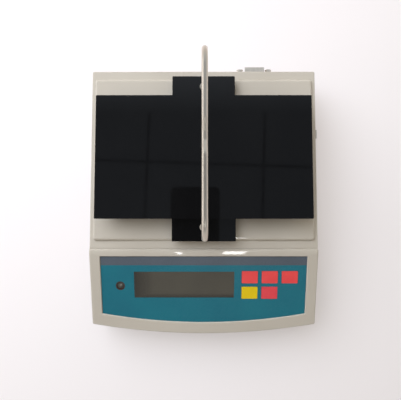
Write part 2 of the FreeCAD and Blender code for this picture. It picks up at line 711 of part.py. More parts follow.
def make_base_tray():
    tray = new_body("base_tray")
    plan = housing_outline(tray, "tray_plan", "0", "base_underside")
    block = pad(tray, plan, "parting_height - base_underside")
    cornered = fillet(tray, block, "corner_round", is_upright)
    seam = chamfer(tray, cornered, "parting_chamfer", lambda edge: is_level(edge, value("parting_height")))
    fillet(tray, seam, "underside_round", lambda edge: is_level(edge, value("base_underside")))
    lip = housing_outline(tray, "lip", "wall + lip_gap", "parting_height")
    pad(tray, lip, "lip_height")
    hollow = housing_outline(
        tray, "tray_hollow", "wall + lip_gap + lip_thickness", "parting_height + lip_height"
    )
    pocket(tray, hollow, "parting_height + lip_height - floor_top")

    # Bosses on the floor, each as tall as what it carries.
    def floor_bosses(name, spots, radius, top):
        ring = new_sketch(tray, name, z="base_underside + embed")
        for x, y in spots:
            add_circle(ring, x, y, radius)
        pad(tray, ring, f"({top}) - base_underside - embed")

    floor_bosses("foot_bosses", feet.values(), "foot_boss_radius", "foot_boss_top")
    floor_bosses("cover_bosses", cover_bosses, "boss_radius", "parting_height")
    floor_bosses("board_bosses", board_corners, "board_boss_radius", "board_underside")
    floor_bosses("stop_bosses", stop_spots, "stop_boss_radius", "stop_boss_height")
    mount = new_sketch(tray, "cell_mount", z="base_underside + embed")
    add_rectangle(mount, "0", "cell_rear_y - block_length / 2", "cell_width", "block_length")
    pad(tray, mount, "wall - embed + mount_pad_rise")

    # Holes from below, with counterbores for the screw heads.
    def holes_up(name, spots, radius, depth):
        circles = new_sketch(tray, name, z="base_underside")
        for x, y in spots:
            add_circle(circles, x, y, radius)
        pocket(tray, circles, depth, up=True)

    holes_up("insert_holes", feet.values(), "insert_radius", "parting_height - base_underside")
    holes_up("cover_screw_holes", cover_bosses, "cover_screw_radius", "parting_height - base_underside")
    holes_up(
        "cover_screw_seats", cover_bosses, "cover_screw_head + screw_clearance",
        "cover_screw_head_height"
    )
    holes_up("cell_screw_holes", cell_screw_spots, "cell_screw_radius", "wall + mount_pad_rise")
    holes_up("cell_screw_seats", cell_screw_spots, "cell_screw_head + screw_clearance", "counterbore_depth")

    # Holes from above for the board screws and the overload stops.
    board_holes = new_sketch(tray, "board_screw_holes", z="board_underside")
    for x, y in board_corners:
        add_circle(board_holes, x, y, "board_screw_radius")
    pocket(tray, board_holes, "board_screw_length - board_thickness")
    stop_holes = new_sketch(tray, "stop_holes", z="stop_boss_height")
    for x, y in stop_spots:
        add_circle(stop_holes, x, y, "stop_radius")
    pocket(tray, stop_holes, "stop_boss_height - floor_top")
    finish(tray, "base_tray")


def make_cover_screws():
    screws = [
        screw(
            f"cover_screw_{i}", x, y, "base_underside + cover_screw_head_height", "cover_screw_head",
            "cover_screw_head_height", "cover_screw_radius",
            "cover_screw_length - cover_screw_head_height", down=False,
        )
        for i, (x, y) in enumerate(cover_bosses)
    ]
    finish(group("cover_screws_group", screws), "cover_screws")


def make_rating_plate():
    plate = box(
        "rating_plate_blank", ("plate_length", "plate_width", "plate_thickness"), "0", "plate_y",
        "base_underside - plate_thickness",
    )
    finish(plate, "rating_plate")


# ---- levelling feet ----


def make_foot(name, x, y):
    pad_body = new_body(f"foot_pad_{name}")
    section = new_sketch(pad_body, f"foot_pad_{name}_section", role="XZ_Plane")
    bore = "(tip_radius + tip_gap)"
    add_polygon(
        section,
        [
            ("0", "0"),
            ("foot_pad_radius", "0"),
            ("foot_pad_radius", "foot_pad_rim"),
            ("foot_pad_neck", "foot_pad_height"),
            (bore, "foot_pad_height"),
            (bore, "tip_bottom - tip_gap"),
            ("0", "tip_bottom - tip_gap"),
        ],
    )
    revolve(pad_body, section)
    finish(place(pad_body, x, y), f"foot_pad_{name}")

    turned = new_body(f"foot_screw_{name}")
    profile = new_sketch(turned, f"foot_screw_{name}_section", role="XZ_Plane")
    add_polygon(
        profile,
        [
            ("0", "tip_bottom"),
            ("tip_radius", "tip_bottom"),
            ("tip_radius", "wheel_bottom"),
            ("wheel_radius", "wheel_bottom"),
            ("wheel_radius", "wheel_bottom + wheel_thickness"),
            ("thread_radius", "wheel_bottom + wheel_thickness"),
            ("thread_radius", "screw_top"),
            ("0", "screw_top"),
        ],
    )
    revolve(turned, profile)
    flute = new_sketch(turned, f"flute_{name}", z="wheel_bottom")
    add_circle(flute, "wheel_radius", "0", "flute_radius")
    first = pocket(turned, flute, "wheel_thickness", up=True)
    doc.recompute()
    ring = turned.newObject("PartDesign::PolarPattern", f"flutes_{name}")
    ring.Originals = [first]
    axis = next(item for item in turned.Origin.OriginFeatures if item.Role == "Z_Axis")
    ring.Axis = (axis, [""])
    ring.Angle = 360
    bind(ring, "Occurrences", "wheel_flutes")
    turned.Tip = ring
    finish(place(turned, x, y), f"foot_screw_{name}")


def revolve(body, section):
    turned = body.newObject("PartDesign::Revolution", f"{section.Name}_turned")
    turned.Profile = section
    turned.ReferenceAxis = (section, ["V_Axis"])
    turned.Angle = 360
    section.Visibility = False
    return turned


def make_foot_inserts():
    inserts = []
    for name, (x, y) in feet.items():
        sleeve = cylinder(f"insert_{name}", "insert_radius", "insert_length", x, y, "base_underside")
        thread = cylinder(
            f"insert_bore_{name}", "thread_radius + thread_gap", "insert_length", x, y, "base_underside"
        )
        inserts.append(cut(f"insert_{name}_cut", sleeve, thread))
    finish(group("foot_inserts_group", inserts), "foot_inserts")


# ---- console ----


def console_block(name, x, v, width, length, w, thickness):
    """A block drawn in the console's frame, with its top w below the face."""
    return box(name, (width, length, thickness), x, f"-({v})", f"-(({w}) + ({thickness}))")


def make_front_overlay():
    overlay = new_body("front_overlay")
    sheet_outline = new_sketch(overlay, "overlay_outline", z="-recess_depth")
    add_bowed_outline(
        sheet_outline, "overlay_width / 2", "-overlay_v", "-(overlay_v + overlay_side + overlay_sagitta)",
        "overlay_radius",
    )
    pad(overlay, sheet_outline, "overlay_thickness")
    holes = new_sketch(overlay, "overlay_holes", z="-overlay_w")
    add_rectangle(
        holes, "window_x", "-window_v", "window_width + 2 * overlay_gap", "window_height + 2 * overlay_gap"
    )
    for x, v in key_names.values():
        add_rectangle(holes, x, f"-({v})", "key_width + 2 * key_gap", "key_height + 2 * key_gap")
    add_circle(holes, "level_x", "-level_v", "level_radius + level_gap")
    pocket(overlay, holes, "overlay_thickness")
    on_console(overlay, "front_overlay")


def make_display():
    window = console_block(
        "window_blank", "window_x", "window_v", "window_width", "window_height", "overlay_w",
        "overlay_thickness"
    )
    on_console(window, "display_window")

    panel_size = ("window_width - 2 * panel_margin", "window_height - 2 * panel_margin")
    panel = console_block(
        "panel_blank", "window_x", "window_v", *panel_size, "console_wall", "panel_thickness"
    )
    on_console(panel, "lcd_panel")

    rim = [f"{size} + 2 * panel_gap" for size in panel_size]
    outer = [f"{size} + 2 * frame_wall" for size in rim]
    depth = "display_board_depth - console_wall"
    frame = cut(
        "frame_cut",
        console_block("frame_blank", "window_x", "window_v", *outer, "console_wall", depth),
        console_block("frame_room", "window_x", "window_v", *rim, "console_wall", depth),
    )
    on_console(frame, "lcd_frame")

    below_panel = "console_wall + panel_thickness"
    strips = [
        console_block(
            f"contact_strip_{word}", "window_x", f"window_v {sign} (({panel_size[1]}) / 2 - strip_wide)",
            panel_size[0], "strip_wide", below_panel, f"display_board_depth - ({below_panel})",
        )
        for word, sign in (("upper", "-"), ("lower", "+"))
    ]
    on_console(group("contact_strips_group", strips), "contact_strips")

    board = console_block(
        "display_board_blank", "display_board_x", "display_board_v", "display_board_width",
        "display_board_height",
        "display_board_depth", "board_thickness",
    )
    bores = [
        cylinder(
            f"display_board_bore_{i}", "board_screw_radius", "board_thickness", x, y,
            "-(display_board_depth + board_thickness)",
        )
        for i, (x, y) in enumerate(display_bosses)
    ]
    on_console(cut("display_board_cut", board, *bores), "display_board")

    screws = [
        screw(
            f"display_screw_{i}", x, y, "-(display_board_depth + board_thickness)", "board_screw_head",
            "board_screw_head_height", "board_screw_radius", "board_screw_length", down=False,
        )
        for i, (x, y) in enumerate(display_bosses)
    ]
    on_console(group("display_screws_group", screws), "display_board_screws")


def make_keys():
    for name, (x, v) in key_names.items():
        key = new_body(name)
        cap = new_sketch(key, f"{name}_cap", z="key_proud - overlay_w")
        add_rectangle(cap, x, f"-({v})", "key_width", "key_height")
        flange_top_w = "(console_wall + key_flange_gap)"
        block = pad(key, cap, f"{flange_top_w} + key_proud - overlay_w", up=False)
        fillet(key, block, "key_corner", is_upright)
        flange = new_sketch(key, f"{name}_flange", z=f"-{flange_top_w}")
        add_rectangle(flange, x, f"-({v})", "key_width + 2 * key_flange", "key_height + 2 * key_flange")
        pad(key, flange, "key_flange_thickness", up=False)
        stem = new_sketch(key, f"{name}_stem", z=f"-({flange_top_w} + key_flange_thickness)")
        add_rectangle(stem, x, f"-({v})", "key_stem", "key_stem")
        pad(key, stem, "key_stem_length", up=False)
        on_console(key, name)

    switches = []
    for name, (x, v) in key_names.items():
        can = console_block(f"tact_{name}", x, v, "tact_width", "tact_width", "tact_top_w", "tact_height")
        plunger = cylinder(
            f"plunger_{name}", "tact_plunger", "tact_top_w - plunger_top_w", x, f"-({v})", "-tact_top_w"
        )
        switches.append(fuse(f"tact_switch_{name}", [can, plunger]))
    on_console(group("key_switches_group", switches), "key_switches")


def make_level():
    spot = ("level_x", "-level_v")
    cup = cylinder("level_cup", "level_radius", "level_depth", *spot, "-(overlay_w + level_depth)")
    flange = cylinder(
        "level_flange_ring", "level_flange", "level_flange_thickness", *spot,
        "-(console_wall + level_flange_thickness)"
    )
    room = cylinder(
        "level_room", "level_radius - level_wall", "level_depth - level_floor", *spot,
        "-(overlay_w + level_depth - level_floor)",
    )
    on_console(cut("level_cup_cut", fuse("level_cup_blank", [cup, flange]), room), "level_cup")
    vial = cylinder(
        "level_vial_blank", "level_radius - level_wall - vial_gap",
        "level_depth - level_floor - vial_setback", *spot,
        "-(overlay_w + level_depth - level_floor)",
    )
    on_console(vial, "level_vial")


# ---- weighing plate, arch and bridge ----


def make_weighing_strip():
    strip = new_body("weighing_strip")
    outline = new_sketch(strip, "strip_outline", z="strip_underside")
    add_rectangle(outline, "0", "pan_y", "strip_width", "strip_length")
    block = pad(strip, outline, "acrylic_thickness")
    chamfer(strip, block, "strip_corner", is_upright)
    holes = new_sketch(strip, "strip_holes", z="strip_top")
    for side in "+-":
        add_circle(holes, "0", f"arch_y {side} arch_spacing / 2", "rod_radius")
        add_circle(holes, "0", f"pan_y {side} post_offset", "pan_screw_radius + screw_clearance")
    pocket(strip, holes, "acrylic_thickness")
    finish(strip, "weighing_strip")


def make_arch():
    rear, front = value("arch_y + arch_spacing / 2"), value("arch_y - arch_spacing / 2")
    middle, low, high = value("arch_y + dip_shift"), value("strip_underside - leg_drop"), value("arch_height")
    wide, narrow, floor = value("dip_top / 2"), value("dip_bottom / 2"), high - value("dip_depth")
    line = [
        (front, low), (front, high), (middle - wide, high), (middle - narrow, floor),
        (middle + narrow, floor), (middle + wide, high), (rear, high), (rear, low),
    ]
    bends = [value("arch_bend")] + [value("dip_bend")] * 4 + [value("arch_bend")]
    wire = rounded_wire([Vector(0, y, z) for y, z in line], bends)
    finish(sweep("arch_sweep", wire, "rod_radius"), "arch_rod")

    collars, nuts = [], []
    for word, side in (("rear", "+"), ("front", "-")):
        y = f"arch_y {side} arch_spacing / 2"
        collar = cylinder(
            f"arch_collar_{word}", "arch_collar_radius", "arch_collar_height", "0", y, "strip_top"
        )
        bore = cylinder(f"arch_collar_bore_{word}", "rod_radius", "arch_collar_height", "0", y, "strip_top")
        collars.append(cut(f"arch_collar_{word}_cut", collar, bore))
        nut_z = "strip_underside - arch_nut_height"
        nut = hexagon(f"arch_nut_{word}", "arch_nut_radius", "arch_nut_height", "0", y, nut_z)
        thread = cylinder(f"arch_nut_bore_{word}", "rod_radius", "arch_nut_height", "0", y, nut_z)
        nuts.append(cut(f"arch_nut_{word}_cut", nut, thread))
    finish(group("arch_collars_group", collars), "arch_collars")
    finish(group("arch_nuts_group", nuts), "arch_nuts")


def make_pan_carrier():
    """The casting on the load cell's free end, its two posts and the screws that hold the weighing plate."""
    bar_length = "(carrier_rear + cell_length / 2)"
    bar = box(
        "carrier_bar", ("cell_width", bar_length, "carrier_thickness"), "0",
        "pan_y + (carrier_rear - cell_length / 2) / 2", "carrier_bottom",
    )
    ears = box("carrier_ears", ("carrier_ear_span", "carrier_ear_width", "carrier_thickness"), "0", "pan_y",
               "carrier_bottom")
    foot = box(
        "carrier_foot", ("cell_width", "carrier_foot", "carrier_gap"), "0", "cell_front_y + carrier_foot / 2",
        "cell_top",
    )
    bores = [
        cylinder(f"carrier_bore_{i}", "carrier_screw_radius", "carrier_top - cell_top", x, y, "cell_top")
        for i, (x, y) in enumerate(carrier_screw_spots)
    ]
    finish(cut("carrier_cut", fuse("carrier_blank", [bar, ears, foot]), *bores), "pan_carrier")

    screws = [
        screw(
            f"carrier_screw_{i}", x, y, "carrier_top", "carrier_screw_head", "carrier_screw_head_height",
            "carrier_screw_radius", "carrier_screw_length",
        )
        for i, (x, y) in enumerate(carrier_screw_spots)
    ]
    finish(group("carrier_screws_group", screws), "carrier_screws")

    posts, plate_screws = [], []
    for word, y in zip(("rear", "front"), post_ys):
        post = cylinder(f"post_{word}", "post_radius", "strip_underside - carrier_top", "0", y, "carrier_top")
        depth = "(pan_screw_length - acrylic_thickness)"
        thread = cylinder(
            f"post_bore_{word}", "pan_screw_radius", depth, "0", y, f"strip_underside - {depth}"
        )
        posts.append(cut(f"post_{word}_cut", post, thread))
        plate_screws.append(
            screw(
                f"pan_screw_{word}", "0", y, "strip_top", "pan_screw_head", "pan_screw_head_height",
                "pan_screw_radius", "pan_screw_length",
            )
        )
    finish(group("pan_posts_group", posts), "pan_posts")
    finish(group("pan_screws_group", plate_screws), "pan_screws")


def make_bridge():
    plate = new_body("bridge_plate")
    outline = new_sketch(plate, "bridge_outline", z="bridge_underside")
    add_rectangle(outline, "0", "pan_y", "bridge_width", "bridge_depth")
    block = pad(plate, outline, "acrylic_thickness")
    fillet(plate, block, "bridge_corner", is_upright)
    finish(plate, "bridge_plate")

    rail_x = "(bridge_width / 2 - rail_inset - rail_thickness / 2)"
    rail_length = "(bridge_depth - 2 * rail_end_margin)"
    rail_bottom = "plateau_top + pad_thickness"
    rails, pads = [], []
    for sign in LEFT_RIGHT:
        word = "left" if sign else "right"
        rails.append(
            box(
                f"rail_{word}", ("rail_thickness", rail_length, f"bridge_underside - ({rail_bottom})"),
                f"{sign}{rail_x}", "pan_y", rail_bottom,
            )
        )
        for side in "+-":
            y = f"pan_y {side} ({rail_length} / 2 - pad_end_margin)"
            name = f"rail_pad_{word}_{len(pads)}"
            pads.append(cylinder(name, "pad_radius", "pad_thickness", f"{sign}{rail_x}", y, "plateau_top"))
    finish(group("bridge_rails_group", rails), "bridge_rails")
    finish(group("bridge_pads_group", pads), "bridge_pads")


# ---- load cell ----

cell_screw_spots = [("0", f"cell_rear_y - cell_screw_end - {i} * cell_screw_pitch") for i in range(2)]
carrier_screw_spots = [("0", f"cell_front_y + cell_screw_end + {i} * cell_screw_pitch") for i in range(2)]
board_corners = [
    (f"board_x {across} (board_width / 2 - board_boss_inset)", y)
    for across in "+-"
    for y in ("board_rear_y - board_rear_inset", "board_y - board_length / 2 + board_boss_inset")
]
stop_spots = [(f"{side}stop_x", "pan_y") for side in LEFT_RIGHT]


def make_load_cell():
    beam = box("cell_beam", ("cell_width", "cell_length", "cell_height"), "0", "pan_y", "cell_bottom")
    # Two bores joined by a slot leave thin flexures above and below.
    bore_radius = "(cell_height / 2 - flexure_thickness)"
    middle = "cell_bottom + cell_height / 2"
    along_x = Vector(1, 0, 0)
    cuts = [
        cylinder(
            f"flexure_bore_{i}", bore_radius, "cell_width", "-cell_width / 2",
            f"pan_y {side} flexure_spacing / 2",
            middle, along_x,
        )
        for i, side in enumerate("+-")
    ]
    cuts.append(
        box("flexure_slot_cut", ("cell_width", "flexure_spacing", "flexure_slot"), "0", "pan_y",
            f"{middle} - flexure_slot / 2")
    )
    for i, (x, y) in enumerate(cell_screw_spots):
        depth = "cell_screw_length - block_thickness - wall - mount_pad_rise + counterbore_depth"
        cuts.append(cylinder(f"cell_bore_{i}", "cell_screw_radius", depth, x, y, "cell_bottom"))
    for i, (x, y) in enumerate(carrier_screw_spots):
        depth = "(carrier_screw_length - carrier_gap - carrier_thickness)"
        cuts.append(
            cylinder(f"cell_free_bore_{i}", "carrier_screw_radius", depth, x, y, f"cell_top - {depth}")
        )
    finish(cut("cell_cut", beam, *cuts), "load_cell")

    sealant = [
        box(f"sealant_{word}", ("cell_width", "sealant_length", "sealant_thickness"), "0", "pan_y", z)
        for word, z in (("top", "cell_top"), ("bottom", "cell_bottom - sealant_thickness"))
    ]
    finish(group("sealant_group", sealant), "gauge_sealant")

    block = box(
        "block_blank", ("cell_width", "block_length", "block_thickness"), "0",
        "cell_rear_y - block_length / 2",
        "cell_bottom - block_thickness",
    )
    bores = [
        cylinder(
            f"block_bore_{i}", "cell_screw_radius", "block_thickness", x, y, "cell_bottom - block_thickness"
        )
        for i, (x, y) in enumerate(cell_screw_spots)
    ]
    finish(cut("block_cut", block, *bores), "load_cell_block")

    seat = "base_underside + counterbore_depth"
    screws = [
        screw(
            f"cell_screw_{i}", x, y, seat, "cell_screw_head", "cell_screw_head_height", "cell_screw_radius",
            "cell_screw_length", down=False,
        )
        for i, (x, y) in enumerate(cell_screw_spots)
    ]
    finish(group("cell_screws_group", screws), "load_cell_screws")

    stop_length = "carrier_bottom - stop_gap - floor_top"
    stops = [
        cylinder(f"stop_{i}", "stop_radius", stop_length, x, y, "floor_top") for i,
        (x, y) in enumerate(stop_spots)
    ]
    finish(group("stops_group", stops), "overload_stops")


# ---- boards and connectors ----


def make_main_board():
    blank = box(
        "main_board_blank", ("board_width", "board_length", "board_thickness"), "board_x", "board_y",
        "board_underside",
    )
    bores = [
        cylinder(f"board_bore_{i}", "board_screw_radius", "board_thickness", x, y, "board_underside")
        for i, (x, y) in enumerate(board_corners)
    ]
    finish(cut("main_board_cut", blank, *bores), "main_board")

    # Chips and a header as blocks, capacitors as cans, placed from the board's middle and its rear edge.
    members = [
        box(
            f"{word}_block", (f"{word}_width", f"{word}_length", f"{word}_height"), f"board_x + {word}_x",
            f"board_rear_y - {word}_setback", "board_top",
        )
        for word in ("controller", "converter", "regulator", "header")
    ]
    members += [
        cylinder(
            f"{word}_can", f"{word}_radius", f"{word}_height", f"board_x + {word}_x",
            f"board_rear_y - {word}_setback",
            "board_top",
        )
        for word in ("input", "output")
    ]
    finish(group("main_board_parts_group", members), "main_board_parts")

    screws = [
        screw(
            f"board_screw_{i}", x, y, "board_top", "board_screw_head", "board_screw_head_height",
            "board_screw_radius", "board_screw_length",
        )
        for i, (x, y) in enumerate(board_corners)
    ]
    finish(group("board_screws_group", screws), "main_board_screws")


def add_connector_outline(sketch, inset):
    """The connector's five-and-four outline: wider above than below."""
    top = f"(shell_width / 2 - ({inset}))"
    bottom = f"(shell_width / 2 - shell_taper - ({inset}))"
    high = f"serial_height + shell_height / 2 - ({inset})"
    low = f"serial_height - shell_height / 2 + ({inset})"
    return add_polygon(
        sketch,
        [
            (f"serial_x - {bottom}", low),
            (f"serial_x + {bottom}", low),
            (f"serial_x + {top}", high),
            (f"serial_x - {top}", high),
        ],
    )


def make_serial_connector():
    inner_face = "(rear_y - wall)"
    shell = new_body("serial_shell")
    tube = new_sketch(shell, "shell_tube", z=f"-{inner_face}", role="XZ_Plane")
    add_connector_outline(tube, "0")
    pad(shell, tube, "wall + connector_reach", up=False)
    flange = new_sketch(shell, "shell_flange", z=f"-{inner_face}", role="XZ_Plane")
    add_rectangle(flange, "serial_x", "serial_height", "flange_width", "flange_height")
    pad(shell, flange, "flange_thickness")
    room = new_sketch(shell, "shell_room", z="-(rear_y + connector_reach)", role="XZ_Plane")
    add_connector_outline(room, "shell_thickness")
    pocket(shell, room, "connector_reach + wall + flange_thickness", up=True)
    bores = new_sketch(shell, "shell_bores", z=f"-{inner_face}", role="XZ_Plane")
    for side in "+-":
        add_circle(bores, f"serial_x {side} jackscrew_pitch / 2", "serial_height", "jackscrew_shank")
    pocket(shell, bores, "flange_thickness", up=True)
    finish(shell, "serial_shell")

    insulator = new_body("serial_insulator")
    nose_face = "(rear_y + connector_reach - insert_recess)"
    nose = new_sketch(insulator, "insulator_nose", z=f"-{nose_face}", role="XZ_Plane")
    add_connector_outline(nose, "shell_thickness")
    back_face = f"({inner_face} - flange_thickness)"
    pad(insulator, nose, f"{nose_face} - {back_face}")
    back = new_sketch(insulator, "insulator_back", z=f"-{back_face}", role="XZ_Plane")
    add_rectangle(back, "serial_x", "serial_height", "flange_width", "flange_height")
    pad(insulator, back, "insert_depth")
    shank_room = new_sketch(insulator, "insulator_bores", z=f"-{back_face}", role="XZ_Plane")
    for side in "+-":
        add_circle(shank_room, f"serial_x {side} jackscrew_pitch / 2", "serial_height", "jackscrew_shank")
    pocket(insulator, shank_room, "insert_depth / 2", up=True)
    finish(insulator, "serial_insulator")

    outward = Vector(0, 1, 0)
    pins = []
    for count, row in ((5, "+"), (4, "-")):
        for i in range(count):
            x = f"serial_x + {i - (count - 1) / 2} * pin_pitch"
            name = f"pin_{count}_{i}"
            z = f"serial_height {row} pin_row"
            pins.append(cylinder(name, "pin_radius", "pin_proud", x, nose_face, z, outward))
    finish(group("serial_pins_group", pins), "serial_pins")

    jackscrews = []
    for word, side in (("outer", "+"), ("inner", "-")):
        x = f"serial_x {side} jackscrew_pitch / 2"
        hexed = hexagon(
            f"jack_{word}", "jackscrew_radius", "jackscrew_length", x, "rear_y", "serial_height",
            outward
        )
        shank_length = "(wall + flange_thickness + insert_depth / 4)"
        shank = cylinder(
            f"jack_shank_{word}", "jackscrew_shank", shank_length, x, f"rear_y - {shank_length}",
            "serial_height",
            outward,
        )
        bore = cylinder(
            f"jack_bore_{word}", "jackscrew_bore", "jackscrew_bore_depth", x,
            "rear_y + jackscrew_length - jackscrew_bore_depth", "serial_height", outward,
        )
        jackscrews.append(cut(f"jack_{word}_cut", fuse(f"jack_{word}_blank", [hexed, shank]), bore))
    finish(group("jackscrews_group", jackscrews), "serial_jackscrews")


def make_power_jack():
    outward = Vector(0, 1, 0)
    inner_face = "(rear_y - wall)"
    barrel = cylinder(
        "jack_barrel_blank", "jack_barrel", "wall", "jack_x", inner_face, "jack_height", outward
    )
    body = box(
        "jack_body_blank", ("2 * jack_barrel", "jack_length", "jack_body_height"), "jack_x",
        f"{inner_face} - jack_length / 2", "jack_height - jack_body_height / 2",
    )
    bore = cylinder(
        "jack_bore_blank", "jack_bore", "jack_bore_depth", "jack_x", "rear_y - jack_bore_depth",
        "jack_height",
        outward,
    )
    finish(cut("jack_cut", fuse("jack_blank", [barrel, body]), bore), "power_jack")
    pin = cylinder(
        "jack_pin_blank", "jack_pin", "jack_pin_length", "jack_x", "rear_y - jack_bore_depth",
        "jack_height", outward
    )
    finish(pin, "power_jack_pin")


def make_power_switch():
    face, room_height = "half_width", "(rocker_height + 2 * rocker_sweep_room)"
    room_width = "(rocker_width + 2 * rocker_gap)"
    bezel = box(
        "bezel_blank", ("bezel_thickness", "bezel_width", "bezel_height"),
        f"{face} + bezel_thickness / 2", "switch_y",
        "switch_height - bezel_height / 2",
    )
    body = box(
        "switch_blank", ("switch_depth", "switch_width", "switch_body_height"), f"{face} - switch_depth / 2",
        "switch_y", "switch_height - switch_body_height / 2",
    )
    room = box(
        "rocker_room", ("rocker_room_depth + bezel_thickness", room_width, room_height),
        f"{face} + (bezel_thickness - rocker_room_depth) / 2", "switch_y",
        f"switch_height - {room_height} / 2",
    )
    pivot_x = "(half_width - rocker_setback)"
    bearing = cylinder(
        "axle_bearing", "axle_radius + axle_gap", "axle_length + 2 * axle_gap", pivot_x,
        "switch_y - axle_length / 2 - axle_gap", "switch_height", Vector(0, 1, 0),
    )
    finish(cut("switch_cut", fuse("switch_body_blank", [bezel, body]), room, bearing), "switch_housing")

    # The rocker is drawn about its own axle, then tipped to one side, where it rests.
    rocker = new_body("switch_rocker")
    profile = new_sketch(rocker, "rocker_profile", role="XZ_Plane")
    end, shoulder = "rocker_height / 2", "(rocker_height / 2 - rocker_shoulder)"
    add_polygon(
        profile,
        [
            ("-rocker_back", "-rocker_back_height / 2"),
            ("rocker_shoulder", f"-{shoulder}"),
            ("rocker_end_rise", f"-({end})"),
            ("rocker_rise", "0"),
            ("rocker_end_rise", end),
            ("rocker_shoulder", shoulder),
            ("-rocker_back", "rocker_back_height / 2"),
        ],
    )
    pad(rocker, profile, "rocker_width", symmetric=True)
    axle = new_sketch(rocker, "rocker_axle", role="XZ_Plane")
    add_circle(axle, "0", "0", "axle_radius")
    pad(rocker, axle, "axle_length", symmetric=True)
    rocker.Placement = FreeCAD.Placement(Vector(), FreeCAD.Rotation(Vector(0, 1, 0), value("rocker_tilt")))
    bind(rocker, "Placement.Rotation.Angle", "rocker_tilt")
    place(rocker, pivot_x, "switch_y", "switch_height")
    finish(rocker, "switch_rocker")

    terminals = [
        box(
            f"terminal_{i}", ("terminal_length", "terminal_width", "terminal_thickness"),
            f"{face} - switch_depth - terminal_length / 2", "switch_y",
            f"switch_height {side} switch_body_height / 4",
        )
        for i, side in enumerate("+-")
    ]
    finish(group("terminals_group", terminals), "switch_terminals")


# ---- cables inside the housing ----


def make_cable(name, radius, points):
    """A cable in straight runs joined by arcs as wide as the runs allow."""
    route = [Vector(*(value(text) for text in point)) for point in points]
    radii = []
    for before, here, after in zip(route, route[1:], route[2:]):
        back, ahead = before - here, after - here
        half_turn = (math.pi - back.getAngle(ahead)) / 2
        radii.append(BEND_SHARE * min(back.Length, ahead.Length) / math.tan(half_turn))
    return sweep(name, rounded_wire(route, radii), radius)


def console_point(v, w):
    """The y and z of a point v down the slope and w below the face."""
    y = f"console_y - ({v}) * cos(console_slope) + ({w}) * sin(console_slope)"
    z = f"console_height - ({v}) * sin(console_slope) - ({w}) * cos(console_slope)"
    return y, z


def make_cables():
    side, middle = "cell_width / 2", "cell_bottom + cell_height / 2"
    board_edge = "board_x - board_width / 2"
    cell_cable = make_cable(
        "load_cell_cable", "cell_cable_radius",
        [
            (side, "pan_y + cell_cable_rear", middle),
            (f"{side} + cable_out", "pan_y + cell_cable_rear", middle),
            (f"{side} + cable_out", "pan_y + cell_cable_rear - cable_out", "floor_top + cable_sag"),
            (f"{board_edge} + cable_out", "pan_y + cable_out", "floor_top + cable_sag"),
            (f"{board_edge} + cable_out", "pan_y + cable_out", "board_underside"),
        ],
    )
    finish(cell_cable, "load_cell_cable")

    under_board = "display_board_depth + board_thickness"
    display_v = "(display_board_v - display_board_height / 2 + display_cable_inset)"
    board_y = "board_y - board_length / 2 + display_cable_inset"
    display_cable = make_cable(
        "display_cable", "display_cable_radius",
        [
            ("board_x", *console_point(display_v, under_board)),
            ("board_x", *console_point(display_v, f"{under_board} + cable_out")),
            ("board_x", board_y, "board_underside - cable_out"),
            ("board_x", board_y, "board_underside"),
        ],
    )
    finish(display_cable, "display_cable")

    start = "half_width - switch_depth - terminal_length"
    leads = []
    for word, side, reach in (("upper", "+", "upper_lead_reach"), ("lower", "-", "lower_lead_reach")):
        z = f"switch_height {side} switch_body_height / 4 + terminal_thickness / 2"
        corner = f"{start} - {reach}"
        points = [(start, "switch_y", z), (corner, "switch_y", z), (corner, "switch_y", "board_top")]
        leads.append(make_cable(f"switch_lead_{word}", "switch_lead_radius", points))
    finish(group("switch_leads_group", leads), "switch_leads")


make_upper_cover()
make_base_tray()
make_cover_screws()
make_rating_plate()
for foot_name, (foot_spot_x, foot_spot_y) in feet.items():
    make_foot(foot_name, foot_spot_x, foot_spot_y)
make_foot_inserts()
make_front_overlay()
make_display()
make_keys()
make_level()
make_weighing_strip()
make_arch()
make_pan_carrier()
make_bridge()
make_load_cell()
make_main_board()
make_serial_connector()
make_power_jack()
make_power_switch()
make_cables()
doc.recompute()

for item in doc.Objects:
    if "Invalid" in item.State or "Error" in item.State:
        raise RuntimeError(f"{item.Name} failed: {item.State}")
for label, item in nodes.items():
    shape = item.Shape
    if shape.isNull() or not shape.isValid() or not shape.Solids:
        raise RuntimeError(f"{label} has no valid solid")
for label, item in nodes.items():
    item.Shape.exportStep(f"parts/{label}.step")
print(f"{len(nodes)} nodes written")
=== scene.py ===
import math

import bmesh
import bpy
from mathutils import Matrix, Vector


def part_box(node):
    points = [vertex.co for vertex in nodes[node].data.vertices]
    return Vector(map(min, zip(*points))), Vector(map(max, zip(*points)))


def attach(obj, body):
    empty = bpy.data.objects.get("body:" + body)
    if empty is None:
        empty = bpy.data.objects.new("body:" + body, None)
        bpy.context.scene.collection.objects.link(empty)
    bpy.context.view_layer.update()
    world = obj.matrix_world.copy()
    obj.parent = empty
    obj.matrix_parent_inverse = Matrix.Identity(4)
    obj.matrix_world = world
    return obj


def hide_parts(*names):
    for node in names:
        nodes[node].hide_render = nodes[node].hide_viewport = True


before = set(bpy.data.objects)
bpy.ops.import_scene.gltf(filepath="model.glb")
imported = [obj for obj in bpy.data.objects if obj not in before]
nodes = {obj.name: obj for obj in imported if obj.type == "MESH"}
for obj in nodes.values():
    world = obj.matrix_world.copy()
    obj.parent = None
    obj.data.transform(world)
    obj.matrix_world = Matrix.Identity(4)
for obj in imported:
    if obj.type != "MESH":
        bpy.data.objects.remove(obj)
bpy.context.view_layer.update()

scene = bpy.context.scene
scene.view_settings.view_transform = "Standard"


# the camera looks down from over the plates, tipped a little towards the rear

camera = {
    "place": (-0.00216, 0.0038, 0.3979),
    "turn": (3.935, 0.073, -0.002),  # degrees from straight down
    "settings": {
        "lens": 36.99, "sensor_width": 36, "shift_y": -0.0844, "clip_start": 0.01, "clip_end": 50,
    },
}


def radians(degrees):
    return [math.radians(angle) for angle in degrees]


